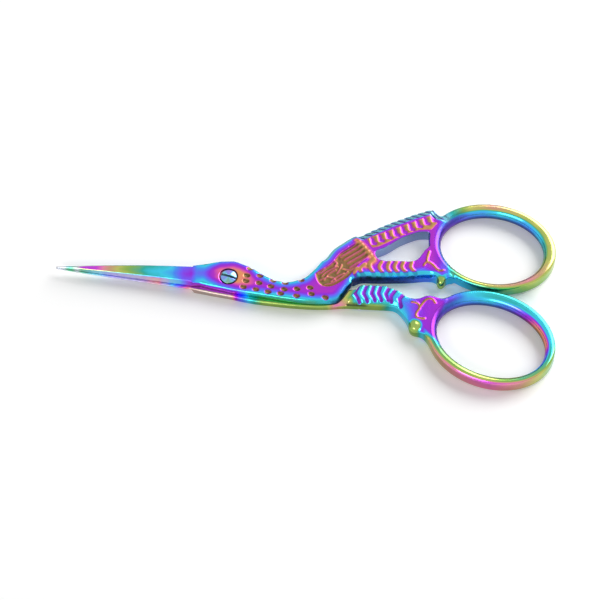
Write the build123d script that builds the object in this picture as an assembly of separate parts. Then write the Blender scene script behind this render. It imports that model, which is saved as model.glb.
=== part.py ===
"""Stork embroidery scissors: two forged halves and one pivot screw.

The scissors lie flat, closed.  The origin is on the pivot axis at the resting
plane, +X runs from the points to the finger rings, +Y to the wing side and
+Z up out of the screw head.  The front half is the upper layer.
"""
from build123d import *
import math
import os

# Driving sizes, in millimetres
blade_length = 40.0        # pivot axis to the points
body_length = 50.0         # pivot axis to the finger holes
thickness = 3.6            # both layers together
layer_clearance = 0.05     # between the inner faces of the two halves
cut_overrun = 1.0          # how far a cutting tool reaches past the steel
bevel_reach = 3.0          # how far a sloping cut reaches past its line

# Blades
choil_distance = 8.6       # pivot axis to the start of the blades
point_height = 1.05        # height of the points over the X axis
point_width = 0.3
point_thickness = 0.7      # of each blade
front_edge_height = 2.45   # front blade's cutting edge at the choil
front_edge_bow = 0.45      # how far that edge swells from a straight line
front_back_height = 2.2    # front blade's back under the X axis at the choil
rear_edge_height = 2.75    # rear blade's cutting edge under the X axis at the choil
rear_edge_bow = 0.15
rear_back_height = 1.9     # rear blade's back at the choil
edge_bevel_width = 0.9
back_bevel_width = 0.45
edge_land = 0.3            # height of the flat that a bevel leaves at the inner face

# Edges of the head, neck, body and rings
neck_round = 0.7
body_round = 0.8
breast_bevel_width = 1.1
breast_bevel_depth = 1.3
crest_width = 2.2          # sloping band along the wing's upper edge
crest_depth = 1.3
tail_bevel_width = 1.2
tail_bevel_depth = 1.5
ring_round = 1.0

# Finger rings: half sizes of the oval holes, and the bars around them
hole_half_length = 12.0
hole_half_width = 9.4
lower_hole_extra = 0.8     # how much longer, by half, the lower hole is
upper_ring_tilt = -10.5
upper_bar_end_width = 2.85
upper_bar_side_width = 2.3
upper_hole_drop = 0.4      # the hole sits lower in the ring, so the upper bar is wider
lower_ring_tilt = -23.0
lower_bar_end_width = 2.3
lower_bar_side_width = 2.75
lower_hole_drop = 0.3
ring_gap = 0.4             # between the closed rings
hole_start_share = 0.968    # of body_length, where the holes begin
ring_round_share = 0.45     # most of a bar's width that its rounding may take

# Pivot screw
screw_diameter = 2.4
screw_clearance = 0.05     # round the shank, in the front half
thread_clearance = 0.02    # round the threaded end, in the rear half
head_diameter = 3.7
head_height = 0.62
dome_height = 0.28
recess_gap = 0.3           # round the head
recess_depth = 0.5
seat_clearance = 0.04
slot_width = 0.55
slot_depth = 0.45
slot_turn = -16.0
thread_pitch = 0.4
thread_groove = 0.1
point_chamfer = 0.2

# Relief
relief_depth = 0.35
groove_width = 0.55
dimple_length = 1.3
dimple_width = 0.85
dimple_depth = 0.4
ridge_width = 0.5
barb_pitch = 1.75          # along the crest
barb_notch = 0.5
barb_depth = 0.4
barb_turn = -52.0          # of the notches, from the X axis
pad_length = 2.3
pad_width = 1.15
twig_width = 0.6
twig_height = 0.3
knee_radius = 0.9

# Worked-out heights
mid_height = thickness / 2
front_floor = mid_height + layer_clearance / 2
rear_ceiling = mid_height - layer_clearance / 2


def oval_reach(half_length, half_width, tilt):
    """Half of a tilted oval's height, or of its length with the two half sizes swapped."""
    angle = math.radians(tilt)
    return math.hypot(half_length * math.sin(angle), half_width * math.cos(angle))


# The rings' outer half heights, and the height that the outlines follow
lower_hole_half_length = hole_half_length + lower_hole_extra
upper_reach = oval_reach(
    hole_half_length + upper_bar_end_width, hole_half_width + upper_bar_side_width, upper_ring_tilt)
lower_reach = oval_reach(
    lower_hole_half_length + lower_bar_end_width, hole_half_width + lower_bar_side_width, lower_ring_tilt)
handle_height = 2 * upper_reach + 2 * lower_reach + ring_gap
body_height_share = 1.0136
body_height = handle_height * body_height_share

# Outlines, as shares of body_length and body_height
front_under_shares = [
    (-0.128, -0.044), (-0.080, -0.055), (-0.034, -0.063), (0.002, -0.070), (0.048, -0.077),
    (0.104, -0.084), (0.196, -0.095), (0.290, -0.106), (0.390, -0.112), (0.460, -0.107),
    (0.504, -0.096), (0.526, -0.076), (0.546, -0.044), (0.562, -0.014), (0.574, 0.018),
]
front_keel_shares = [
    (0.574, 0.018), (0.600, 0.034), (0.650, 0.040), (0.720, 0.043), (0.786, 0.048),
    (0.850, 0.055), (0.920, 0.064), (0.950, 0.058), (0.964, 0.044), (0.976, 0.034),
    (0.990, 0.038), (1.000, 0.050), (1.030, 0.060),
]
front_crest_shares = [
    (0.990, 0.405), (0.966, 0.413), (0.946, 0.426), (0.926, 0.446), (0.910, 0.446),
    (0.884, 0.436), (0.832, 0.414), (0.788, 0.392), (0.736, 0.366), (0.676, 0.332),
    (0.624, 0.300), (0.588, 0.276), (0.560, 0.262), (0.530, 0.240), (0.500, 0.214),
    (0.474, 0.190), (0.456, 0.164), (0.440, 0.136), (0.420, 0.110), (0.396, 0.072),
    (0.372, 0.042), (0.346, 0.016), (0.328, 0.008), (0.292, -0.006), (0.260, -0.010),
    (0.214, -0.002), (0.168, 0.018), (0.134, 0.038), (0.096, 0.062), (0.060, 0.076),
    (0.026, 0.088), (-0.006, 0.088), (-0.044, 0.084), (-0.088, 0.073), (-0.134, 0.060),
]
# Each half is as thick as both layers behind its shoulder
front_shoulder_shares = [
    (0.400, 0.200), (0.440, 0.100), (0.450, 0.060), (0.480, 0.036), (0.540, 0.024), (0.590, 0.022),
    (0.610, -0.200),
]
rear_shoulder_shares = [(0.640, 0.100), (0.604, -0.009), (0.546, -0.106), (0.500, -0.200)]
wing_opening_shares = [
    (0.666, 0.172), (0.676, 0.186), (0.702, 0.200), (0.728, 0.216), (0.772, 0.252), (0.816, 0.278),
    (0.860, 0.298), (0.890, 0.303), (0.916, 0.298), (0.922, 0.275), (0.918, 0.225), (0.898, 0.202),
    (0.882, 0.174), (0.866, 0.150), (0.848, 0.137), (0.780, 0.133), (0.706, 0.131), (0.678, 0.144),
    (0.666, 0.172),
]
rear_under_shares = [
    (-0.128, -0.064), (-0.080, -0.073), (0.012, -0.087), (0.106, -0.104), (0.198, -0.113),
    (0.290, -0.119), (0.382, -0.121), (0.470, -0.116), (0.540, -0.107), (0.600, -0.106),
]
rear_over_shares = [
    (0.718, -0.007), (0.620, -0.009), (0.520, -0.018), (0.400, -0.020), (0.340, -0.022), (0.260, -0.020),
    (0.200, -0.008), (0.140, 0.024), (0.080, 0.060), (0.030, 0.076), (-0.020, 0.076),
    (-0.090, 0.060), (-0.134, 0.046),
]
rear_belly_shares = [
    (0.740, -0.106), (0.772, -0.112), (0.794, -0.130), (0.812, -0.152), (0.828, -0.178),
    (0.838, -0.204), (0.848, -0.226), (0.870, -0.238), (0.894, -0.244), (0.916, -0.262),
    (0.950, -0.296), (0.989, -0.3465),
]
rear_back_shares = [
    (1.010, -0.056), (0.988, -0.060), (0.946, -0.050), (0.918, -0.048), (0.882, -0.064),
    (0.856, -0.068), (0.828, -0.062), (0.790, -0.034), (0.742, -0.015), (0.718, -0.007),
]

# Places of the relief, as shares of body_length and body_height
dimple_shares = [
    (0.096, 0.050), (0.144, 0.012), (0.206, -0.010), (0.262, -0.020), (0.334, 0.000),
    (0.084, 0.010), (0.082, -0.020), (0.142, -0.028), (0.198, -0.044), (0.260, -0.056),
    (0.318, -0.050), (0.378, -0.040), (0.386, -0.074),
    (0.072, -0.054), (0.130, -0.064), (0.186, -0.074), (0.244, -0.080), (0.318, -0.088),
    (0.450, -0.088),
]
panel_shares = [
    (0.396, 0.038), (0.402, 0.014), (0.416, -0.012), (0.436, -0.028), (0.462, -0.031),
    (0.492, -0.020), (0.522, 0.003), (0.544, 0.022), (0.570, 0.058), (0.608, 0.116),
    (0.646, 0.148), (0.626, 0.184), (0.602, 0.214), (0.586, 0.224), (0.560, 0.210),
    (0.528, 0.182), (0.500, 0.152), (0.480, 0.118), (0.450, 0.082), (0.414, 0.056),
]
panel_corner = 10          # the panel's pointed end, counted in its table
ridge_shares = [
    ((0.494, 0.156), (0.590, 0.232)),
    ((0.510, 0.140), (0.604, 0.214)),
    ((0.528, 0.124), (0.618, 0.196)),
    ((0.544, 0.106), (0.634, 0.178)),
    ((0.556, 0.084), (0.648, 0.160)),
]
feather_shares = [
    ((0.500, 0.100), (0.540, 0.070), (0.556, 0.036)),
    ((0.462, 0.086), (0.500, 0.056), (0.520, 0.014)),
    ((0.428, 0.064), (0.462, 0.034), (0.484, -0.010)),
    ((0.410, 0.036), (0.436, 0.010), (0.452, -0.022)),
    ((0.470, 0.110), (0.500, 0.130), (0.520, 0.112)),
]
pad_row_shares = ((0.652, 0.234), (0.928, 0.378))
pad_count = 9
pad_turn = 104.0
pad_band_shares = [
    (0.626, 0.240), (0.656, 0.252), (0.940, 0.398), (0.944, 0.350), (0.920, 0.326),
    (0.866, 0.318), (0.812, 0.296), (0.764, 0.268), (0.716, 0.234), (0.680, 0.212), (0.652, 0.204),
]
tail_chevron_shares = [
    ((0.600, -0.014), (0.584, -0.056), (0.608, -0.096)),
    ((0.636, -0.014), (0.624, -0.056), (0.644, -0.092)),
    ((0.668, -0.014), (0.660, -0.054), (0.678, -0.088)),
    ((0.700, -0.014), (0.692, -0.052), (0.708, -0.086)),
    ((0.738, -0.022), (0.726, -0.054), (0.738, -0.084)),
    ((0.768, -0.032), (0.750, -0.064), (0.754, -0.090)),
    ((0.806, -0.052), (0.790, -0.078), (0.800, -0.114)),
]
wing_chevron_shares = [
    ((0.590, 0.078), (0.578, 0.050), (0.592, 0.038)),
    ((0.622, 0.104), (0.602, 0.070), (0.622, 0.048)),
    ((0.662, 0.136), (0.644, 0.108), (0.668, 0.054)),
    ((0.700, 0.120), (0.690, 0.096), (0.710, 0.056)),
    ((0.736, 0.124), (0.728, 0.092), (0.744, 0.062)),
    ((0.768, 0.124), (0.760, 0.094), (0.778, 0.066)),
    ((0.800, 0.124), (0.794, 0.098), (0.816, 0.068)),
    ((0.838, 0.126), (0.834, 0.104), (0.858, 0.072)),
]
upper_twig_shares = [
    ((0.916, 0.190), (0.910, 0.164), (0.908, 0.132)),
    ((0.894, 0.114), (0.908, 0.132), (0.932, 0.122), (0.950, 0.102), (0.970, 0.088), (0.984, 0.092)),
]
lower_twig_shares = [
    ((0.848, -0.092), (0.876, -0.100), (0.884, -0.120), (0.872, -0.146), (0.872, -0.170), (0.908, -0.178)),
    ((0.884, -0.120), (0.902, -0.088), (0.920, -0.070), (0.938, -0.070), (0.954, -0.090)),
]
crest_line_shares = [(0.440, 0.136), (0.500, 0.222), (0.946, 0.452)]
neck_line_shares = [(0.040, -0.078), (0.400, -0.114)]
breast_line_shares = [(0.470, -0.112), (0.580, 0.018)]
keel_line_shares = [(0.600, 0.034), (0.920, 0.060)]
tail_line_shares = [(0.546, -0.106), (0.760, -0.106), (0.846, -0.240)]
dome_share = 0.6
knee_upper_share = (0.976, 0.036)
knee_lower_share = (0.860, -0.224)


def place(share):
    """A point from its shares of body_length and body_height."""
    return (share[0] * body_length, share[1] * body_height)


def places(shares):
    return [place(share) for share in shares]


def closed_face(*runs):
    """A face inside runs of points: two points make a line, more make a smooth curve."""
    edges = []
    for run in runs:
        edges.append(Line(*run) if len(run) == 2 else Spline(*run))
    return Face(Wire(edges))


def slab(face, low, high):
    """The face as a plate between two heights."""
    return extrude(Pos(0, 0, low) * face, high - low, dir=(0, 0, 1))


def bevel_tool(start, end, inset, drop, face_height, side=1):
    """A wedge that slopes the edge on the left of a line from start to end.

    The slope starts `inset` inside the line and has fallen by `drop` at the line.
    side is 1 for a top face and -1 for an underside.
    """
    first = Vector(*start)
    along = (Vector(*end) - first).normalized()
    outward = Vector(-along.Y, along.X, 0)
    length = (Vector(*end) - first).length + 2 * cut_overrun
    first -= along * cut_overrun
    fall = drop * (inset + bevel_reach) / inset
    corners = [
        (-inset, 0),
        (-inset, cut_overrun),
        (bevel_reach, cut_overrun),
        (bevel_reach, -fall),
    ]
    profile = Wire.make_polygon([
        first + outward * offset + Vector(0, 0, face_height + side * rise) for offset, rise in corners
    ])
    return extrude(Face(profile), length, dir=along)


def oval(half_length, half_width, tilt, centre):
    return Pos(*centre) * Rot(0, 0, tilt) * Ellipse(half_length, half_width)


def ring_places():
    """Centres of the two rings' outer ovals, with the gap between them just over the X axis."""
    start = hole_start_share * body_length
    upper_x = start + oval_reach(hole_half_width, hole_half_length, upper_ring_tilt)
    lower_x = start + oval_reach(hole_half_width, lower_hole_half_length, lower_ring_tilt)
    return (upper_x, upper_reach + ring_gap), (lower_x, -lower_reach)


def finger_ring(half_length, half_width, tilt, end_width, side_width, drop, centre):
    """A round-edged oval bar, and the plug that clears the plates from its middle."""
    outer = oval(half_length + end_width, half_width + side_width, tilt, centre)
    hole_centre = (centre[0], centre[1] - drop)
    hole = oval(half_length, half_width, tilt, hole_centre)
    bar = slab(outer - hole, 0, thickness)
    round_size = min(ring_round, (side_width - drop) * ring_round_share)
    bar = fillet(bar.edges().filter_by(GeomType.ELLIPSE), round_size)
    clear = oval(half_length + (side_width - drop) / 2, half_width + (side_width - drop) / 2, tilt,
                 hole_centre)
    return bar, slab(clear, -cut_overrun, thickness + cut_overrun)


def grooves(share_lines, width):
    """Thin strips along lines of points."""
    strips = Sketch()
    for line in share_lines:
        strips += trace(Polyline(*places(line)) if len(line) > 2 else Line(*places(line)), width)
    return strips


def blade_taper(side):
    """What comes off the top (1) or the underside (-1) of a blade so that it thins to the point."""
    height = thickness if side > 0 else 0
    fall = mid_height - point_thickness
    corners = [
        (-choil_distance, height),
        (-blade_length, height - side * fall),
        (-blade_length - cut_overrun, height - side * fall),
        (-blade_length - cut_overrun, height + side * cut_overrun),
        (-choil_distance, height + side * cut_overrun),
    ]
    profile = Face(Wire.make_polygon([Vector(x, -body_height / 2, z) for x, z in corners]))
    return extrude(profile, body_height, dir=(0, 1, 0))


def blade_runs(back_root, edge_root, bow, point_side):
    """Edges of a blade outline from its back root round the point to its edge root."""
    low = (-blade_length, point_height - point_width / 2)
    high = (-blade_length, point_height + point_width / 2)
    first, last = (low, high) if point_side > 0 else (high, low)
    middle = ((edge_root[0] + last[0]) / 2, (edge_root[1] + last[1]) / 2 + point_side * bow)
    return [
        Line(back_root, first),
        Line(first, last),
        ThreePointArc(last, middle, edge_root),
    ]


def share_bevels(solid, bevels):
    """Slopes top edges of the solid along straight lines given in shares."""
    for start_share, end_share, width, depth in bevels:
        solid -= bevel_tool(place(start_share), place(end_share), width, depth, thickness)
    return solid


def half_plate(edges, shoulder, low, high):
    """A half's outline at full thickness, with the other half's layer cleared before its shoulder."""
    plate = slab(Face(Wire(edges)), 0, thickness)
    reach = blade_length + cut_overrun
    corners = [(-reach, shoulder[0][1]), *shoulder, (-reach, shoulder[-1][1])]
    corners = [Vector(*corner) for corner in corners]
    return plate - slab(Face(Wire.make_polygon(corners)), low, high)


def front_plate():
    """Blade, eye boss, dimpled neck, wing and leg, before the relief is cut."""
    under = places(front_under_shares)
    keel = places(front_keel_shares)
    crest = places(front_crest_shares)
    back_root = (-choil_distance, -front_back_height)
    edge_root = (-choil_distance, front_edge_height)
    plate = half_plate(
        [
            Line(under[0], back_root),
            *blade_runs(back_root, edge_root, front_edge_bow, 1),
            Line(edge_root, crest[-1]),
            Spline(*crest),
            Line(crest[0], keel[-1]),
            Spline(*keel),
            Spline(*under),
        ],
        places(front_shoulder_shares), -cut_overrun, front_floor)
    plate -= blade_taper(1)
    point_low = (-blade_length, point_height - point_width / 2)
    point_high = (-blade_length, point_height + point_width / 2)
    plate -= bevel_tool(back_root, point_low, back_bevel_width, mid_height - edge_land, thickness)
    plate -= bevel_tool(point_high, edge_root, edge_bevel_width, mid_height - edge_land, thickness)
    return plate


def wing_relief():
    """Ground cut round the wing's feathers, ridges, pads and chevrons, as one flat sketch."""
    panel = places(panel_shares)
    field = closed_face(panel[:panel_corner + 1], panel[panel_corner:] + panel[:1])
    ridges = grooves(ridge_shares, ridge_width)
    feathers = grooves(feather_shares, ridge_width)
    ground = Sketch() + (field - ridges - feathers)
    band = closed_face(*[
        list(pair) for pair in zip(places(pad_band_shares), places(pad_band_shares[1:] + pad_band_shares[:1]))
    ])
    first, last = places(pad_row_shares)
    pad = SlotOverall(pad_length, pad_width, rotation=pad_turn)
    pads = Sketch()
    for count in range(pad_count):
        share = count / (pad_count - 1)
        spot = (first[0] + (last[0] - first[0]) * share, first[1] + (last[1] - first[1]) * share)
        pads += Pos(*spot) * pad
    ground += band - pads
    ground += grooves(wing_chevron_shares, groove_width)
    return ground


def barb_notches():
    """Slanted notches across the crest, a fixed pitch apart."""
    first, last = place(crest_line_shares[1]), place(crest_line_shares[2])
    run = Vector(*last) - Vector(*first)
    middle = thickness - crest_depth / 2
    tilt = math.degrees(math.atan2(crest_depth, crest_width))
    notches = []
    for count in range(1, int(run.length / barb_pitch)):
        spot = Vector(*first) + run.normalized() * barb_pitch * count
        inward = Vector(run.Y, -run.X, 0).normalized() * crest_width / 2
        spot += inward
        turn = math.degrees(math.atan2(run.Y, run.X))
        tool = Rot(0, 0, turn) * Rot(-tilt, 0, 0) * Rot(0, 0, barb_turn) * Box(
            2 * crest_width, barb_notch, 2 * barb_depth)
        notches.append(Pos(spot.X, spot.Y, middle) * tool)
    return notches


def dimples(face_height, side):
    """Small oval hollows in the neck, in a top face (1) or an underside (-1)."""
    half_length, half_width = dimple_length / 2, dimple_width / 2
    lower_side = Pos(0, -half_width) * Rectangle(2 * half_length, 2 * half_width)
    egg = revolve(Ellipse(half_length, half_width) - lower_side, Axis.X)
    height = face_height + side * (half_width - dimple_depth)
    return [Pos(*place(share), height) * egg for share in dimple_shares]


def screw_recess():
    """The front half's counterbore and hole for the pivot screw."""
    hole = Cylinder(screw_diameter / 2 + screw_clearance, 2 * thickness + cut_overrun)
    bore = Pos(0, 0, thickness - recess_depth) * Cylinder(
        head_diameter / 2 + recess_gap, recess_depth + cut_overrun,
        align=(Align.CENTER, Align.CENTER, Align.MIN))
    return hole + bore


def front_half():
    """Blade, eye, neck, feathered wing, upper leg and upper finger ring, in one forging."""
    ring, clear = finger_ring(
        hole_half_length, hole_half_width, upper_ring_tilt,
        upper_bar_end_width, upper_bar_side_width, upper_hole_drop, ring_places()[0])
    body = front_plate()
    body = share_bevels(body, [
        (crest_line_shares[0], crest_line_shares[1], crest_width, crest_depth),
        (crest_line_shares[1], crest_line_shares[2], crest_width, crest_depth),
        (breast_line_shares[1], breast_line_shares[0], breast_bevel_width, breast_bevel_depth),
        (keel_line_shares[1], keel_line_shares[0], breast_bevel_width, breast_bevel_depth),
        (neck_line_shares[1], neck_line_shares[0], neck_round, neck_round),
    ])
    body -= barb_notches()
    body -= slab(closed_face(places(wing_opening_shares)), -cut_overrun, thickness + cut_overrun)
    relief = wing_relief()
    body -= slab(relief, thickness - relief_depth, thickness + cut_overrun)
    body -= slab(relief, -cut_overrun, relief_depth)
    body -= dimples(thickness, 1)
    body -= clear
    body += ring
    body += slab(grooves(upper_twig_shares, twig_width), thickness - relief_depth, thickness + twig_height)
    body += knee(knee_upper_share)
    body -= screw_recess()
    return body


def knee(share):
    """The bird's knee: a rounded boss at the edge of the leg."""
    return Pos(*place(share), mid_height) * Sphere(knee_radius)


def rear_plate():
    """Blade, pivot boss, neck, barred tail and leg, before the relief is cut."""
    under = places(rear_under_shares)
    belly = places(rear_belly_shares)
    back = places(rear_back_shares)
    over = places(rear_over_shares)
    edge_root = (-choil_distance, -rear_edge_height)
    back_root = (-choil_distance, rear_back_height)
    plate = half_plate(
        [
            Line(over[-1], back_root),
            *blade_runs(back_root, edge_root, rear_edge_bow, -1),
            Line(edge_root, under[0]),
            Spline(*under),
            Line(under[-1], belly[0]),
            Spline(*belly),
            Line(belly[-1], back[0]),
            Spline(*back),
            Spline(*over),
        ],
        places(rear_shoulder_shares), rear_ceiling, thickness + cut_overrun)
    plate -= blade_taper(-1)
    point_low = (-blade_length, point_height - point_width / 2)
    point_high = (-blade_length, point_height + point_width / 2)
    plate -= bevel_tool(edge_root, point_low, edge_bevel_width, mid_height - edge_land, 0, -1)
    plate -= bevel_tool(point_high, back_root, back_bevel_width, mid_height - edge_land, 0, -1)
    return plate


def rear_half():
    """Blade, pivot boss, neck, barred tail, lower leg and lower finger ring, in one forging."""
    ring, clear = finger_ring(
        lower_hole_half_length, hole_half_width, lower_ring_tilt,
        lower_bar_end_width, lower_bar_side_width, lower_hole_drop, ring_places()[1])
    body = rear_plate()
    body = share_bevels(body, [
        (tail_line_shares[1], tail_line_shares[0], body_round, breast_bevel_depth),
        (tail_line_shares[2], tail_line_shares[1], tail_bevel_width, tail_bevel_depth),
    ])
    relief = grooves(tail_chevron_shares, groove_width)
    body -= slab(relief, thickness - relief_depth, thickness + cut_overrun)
    body -= slab(relief, -cut_overrun, relief_depth)
    body -= dimples(0, -1)
    body -= clear
    body += ring
    body += slab(grooves(lower_twig_shares, twig_width), thickness - relief_depth, thickness + twig_height)
    body += knee(knee_lower_share)
    body -= Cylinder(screw_diameter / 2 + thread_clearance, 2 * thickness + cut_overrun)
    return body


def pivot_screw():
    """Slotted screw: domed head in the recess, plain shank, grooved threaded end."""
    seat = thickness - recess_depth + seat_clearance
    crown = seat + head_height
    radius = screw_diameter / 2
    head = head_diameter / 2
    outline = [
        Line((0, 0), (radius - point_chamfer, 0)),
        Line((radius - point_chamfer, 0), (radius, point_chamfer)),
        Line((radius, point_chamfer), (radius, seat)),
        Line((radius, seat), (head, seat)),
        Line((head, seat), (head, crown - dome_height)),
        ThreePointArc(
            (head, crown - dome_height),
            (head * dome_share, crown - dome_height * dome_share ** 2),
            (0, crown)),
        Line((0, crown), (0, 0)),
    ]
    screw = revolve(Plane.XZ * Face(Wire(outline)), Axis.Z)
    slot = Rot(0, 0, slot_turn) * Pos(0, 0, crown - slot_depth) * Box(
        head_diameter + cut_overrun, slot_width, slot_depth + cut_overrun,
        align=(Align.CENTER, Align.CENTER, Align.MIN))
    screw -= slot
    rings = int((rear_ceiling - 2 * point_chamfer) / thread_pitch)
    for count in range(rings):
        height = point_chamfer + thread_pitch / 2 + thread_pitch * count
        screw -= Pos(0, 0, height) * Torus(radius, thread_groove)
    return screw


os.makedirs("parts", exist_ok=True)
pieces = {
    "front_half": front_half,
    "rear_half": rear_half,
    "pivot_screw": pivot_screw,
}
for name, make in pieces.items():
    piece = make()
    export_step(piece, f"parts/{name}.step")
    print(name, len(piece.solids()), "solid", round(piece.volume, 2), "mm3")
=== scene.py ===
"""Looks of the stork embroidery scissors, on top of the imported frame.

Each half is sculpted as one distance field over the same outlines as the CAD part, meshed with
surface nets, and coloured by its rainbow film. Sizes are in millimetres until a mesh is made.
"""
import math

import bpy
import numpy as np
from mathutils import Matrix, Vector


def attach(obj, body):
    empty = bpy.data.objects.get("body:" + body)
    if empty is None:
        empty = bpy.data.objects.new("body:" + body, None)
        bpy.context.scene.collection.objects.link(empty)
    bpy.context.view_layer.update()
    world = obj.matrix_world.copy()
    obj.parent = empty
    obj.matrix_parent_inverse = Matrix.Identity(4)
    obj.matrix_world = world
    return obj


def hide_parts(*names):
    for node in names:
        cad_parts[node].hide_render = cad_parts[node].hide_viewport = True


MM = 0.001

# Sizes shared with the CAD part
BLADE_LENGTH = 40.0
THICKNESS = 3.6
LAYER_CLEARANCE = 0.05
CHOIL = 8.6
POINT_HEIGHT = 1.05
POINT_WIDTH = 0.3
POINT_THICKNESS = 0.7
EDGE_BEVEL = 0.9
BACK_BEVEL = 0.45
EDGE_LAND = 0.3
CREST_WIDTH = 2.2
CREST_DEPTH = 1.3
HOLE_HALF_LENGTH = 12.0
HOLE_HALF_WIDTH = 9.4
LOWER_EXTRA = 0.8
RING_GAP = 0.4
HOLE_START = 48.4
SCREW_RADIUS = 1.2
HEAD_RADIUS = 1.85
HEAD_HEIGHT = 0.62
DOME_HEIGHT = 0.28
RECESS_GAP = 0.3
RECESS_DEPTH = 0.5
SLOT_WIDTH = 0.55
SLOT_DEPTH = 0.45
SLOT_TURN = -16.0
SEAT_GAP = 0.04
THREAD_HEIGHTS = (0.15, 0.3, 1.5, 1.7)
THREAD_PITCH = 0.4
THREAD_DEPTH = 0.1
END_CHAMFER = 0.2
FRONT_BORE_GAP = 0.05
REAR_BORE_GAP = 0.02
DIMPLE = (1.65, 1.2, 0.42)
DIMPLE_TURN = -8.0
BARB_PITCH = 1.72
BARB_LEAN = 0.75
BARB_DEPTH = 0.4
BAR_START = (4.0, 5.2)
CREST_START = (-6.5, -4.5)

# Height of each blade's edge at its root, the edge's bow, and the height of the back
FRONT_BLADE = (2.45, 0.45, 2.2)
REAR_BLADE = (2.75, 0.15, 1.9)

# Each ring: half length of its hole, tilt, widths of its bar, how low the hole sits, and side
UPPER_RING = (HOLE_HALF_LENGTH, -10.5, (2.85, 2.3), 0.4, 1)
LOWER_RING = (HOLE_HALF_LENGTH + LOWER_EXTRA, -23.0, (2.3, 2.75), 0.3, -1)

# Sizes of the scene's own, where its shapes are finer than the part's. A slope is a width and a
# drop, and a rim or a chevron is a width and a height.
BREAST_SLOPE = (1.1, 1.3)
KEEL_SLOPE = (1.25, 1.5)
TAIL_SLOPE = (1.2, 1.05)
TWIG_WIDTH = 0.806
TWIG_HEIGHT = 0.3
RELIEF_DEPTH = 0.3
PANEL_RIM = (0.8, 0.12)
RIDGE_WIDTH = 0.8
FEATHER_WIDTH = 0.55
WING_CHEVRON = (1.2, 0.11)
TAIL_CHEVRON = (1.25, -0.24)
PROUD = 0.1
RING_ROUND = 1.5
RING_EDGE = 0.85
MESH_SLACK = 0.012
FRONT_EDGE_BEVEL = 0.3
BEVEL_ROUND = 0.06
BLADE_FILLET = 0.1
LAYER_ROUND = 0.05
BLADE_ROUND = 0.06
FRONT_TOP_ROUND = 0.62
FRONT_BOTTOM_ROUND = 0.45
REAR_TOP_ROUND = 0.4
REAR_BOTTOM_ROUND = 0.5
LEDGE_ROUND = 0.3
OPENING_ROUND = 0.12
RECESS_ROUND = 0.08
SLOPE_FILLET = 0.2
CUT_OVERRUN = 4
TINY = 1e-6
HEAD_START = (-CHOIL - 1.5, -CHOIL + 4.0)
MID_HEIGHT = THICKNESS / 2
ABOVE = THICKNESS + 1.0
FRONT_FLOOR = MID_HEIGHT + LAYER_CLEARANCE / 2
REAR_CEILING = MID_HEIGHT - LAYER_CLEARANCE / 2

# Sample points: runs of (start, end, spacing) along X and Y, and one run along Z
FRONT_GRID = (
    [(-40.6, -9, 0.32), (-9, 17, 0.17), (17, 49, 0.148), (49, 76, 0.27)],
    [(-6.6, 5, 0.155), (5, 24.8, 0.165)], (-0.4, 4.3, 0.2))
REAR_GRID = (
    [(-40.6, -9, 0.32), (-9, 26, 0.22), (26, 50, 0.145), (50, 76.4, 0.22)],
    [(-26, -6.6, 0.16), (-6.6, 4.6, 0.15)], (-0.4, 4.3, 0.2))
SCREW_GRID = ([(-2.1, 2.1, 0.055)], [(-2.1, 2.1, 0.055)], (-0.2, 4, 0.055))

# Outlines
FRONT_UNDER = [
    (-6.4, -2.2), (-4, -2.75), (-1.7, -3.15), (0.1, -3.5), (2.4, -3.85), (5.2, -4.2), (9.8, -4.75),
    (14.5, -5.3), (19.5, -5.6), (23, -5.35), (25.2, -4.8), (26.3, -3.8), (27.3, -2.2), (28.1, -0.7),
    (28.7, 0.9),
]
FRONT_KEEL = [
    (28.7, 0.9), (30, 1.7), (32.5, 2), (36, 2.15), (39.3, 2.4), (42.5, 2.75), (46, 3.2), (47.5, 2.9),
    (48.2, 2.2), (48.8, 1.7), (49.5, 1.9), (50, 2.5), (51.5, 3),
]
FRONT_CREST = [
    (49.5, 20.25), (48.3, 20.65), (47.3, 21.3), (46.3, 22.3), (45.5, 22.3), (44.2, 21.8), (41.6, 20.7),
    (39.4, 19.6), (36.8, 18.3), (33.8, 16.6), (31.2, 15), (29.4, 13.8), (28, 13.1), (26.5, 12),
    (25, 10.7), (23.7, 9.5), (22.8, 8.2), (22, 6.8), (21, 5.5), (19.8, 3.6), (18.6, 2.1), (17.3, 0.8),
    (16.4, 0.4), (14.6, -0.3), (13, -0.5), (10.7, -0.1), (8.4, 0.9), (6.7, 1.9), (4.8, 3.1), (3, 3.8),
    (1.3, 4.4), (-0.3, 4.4), (-2.2, 4.2), (-4.4, 3.65), (-6.7, 3),
]
FRONT_SHOULDER = [(20, 10), (22, 5), (22.5, 3), (24, 1.8), (27, 1.2), (29.5, 1.1), (30.5, -10)]
REAR_SHOULDER = [(32, 5), (30.2, -0.45), (27.3, -5.3), (25, -10)]
WING_OPENING = [
    (33.3, 8.6), (33.8, 9.3), (35.1, 10), (36.4, 10.8), (38.6, 12.6), (40.8, 13.9), (43, 14.9),
    (44.5, 15.15), (45.8, 14.9), (46.1, 13.75), (45.9, 11.25), (44.9, 10.1), (44.1, 8.7), (43.3, 7.5),
    (42.4, 6.85), (39, 6.65), (35.3, 6.55), (33.9, 7.2), (33.3, 8.6),
]
REAR_UNDER = [
    (-6.4, -3.2), (-4, -3.65), (0.6, -4.35), (5.3, -5.2), (9.9, -5.65), (14.5, -5.95), (19.1, -6.05),
    (23.5, -5.8), (27, -5.35), (30, -5.3),
]
REAR_OVER = [
    (35.9, -0.35), (31, -0.45), (26, -0.9), (20, -1), (17, -1.1), (13, -1), (10, -0.4), (7, 1.2),
    (4, 3), (1.5, 3.8), (-1, 3.8), (-4.5, 3), (-6.7, 2.3),
]
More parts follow.
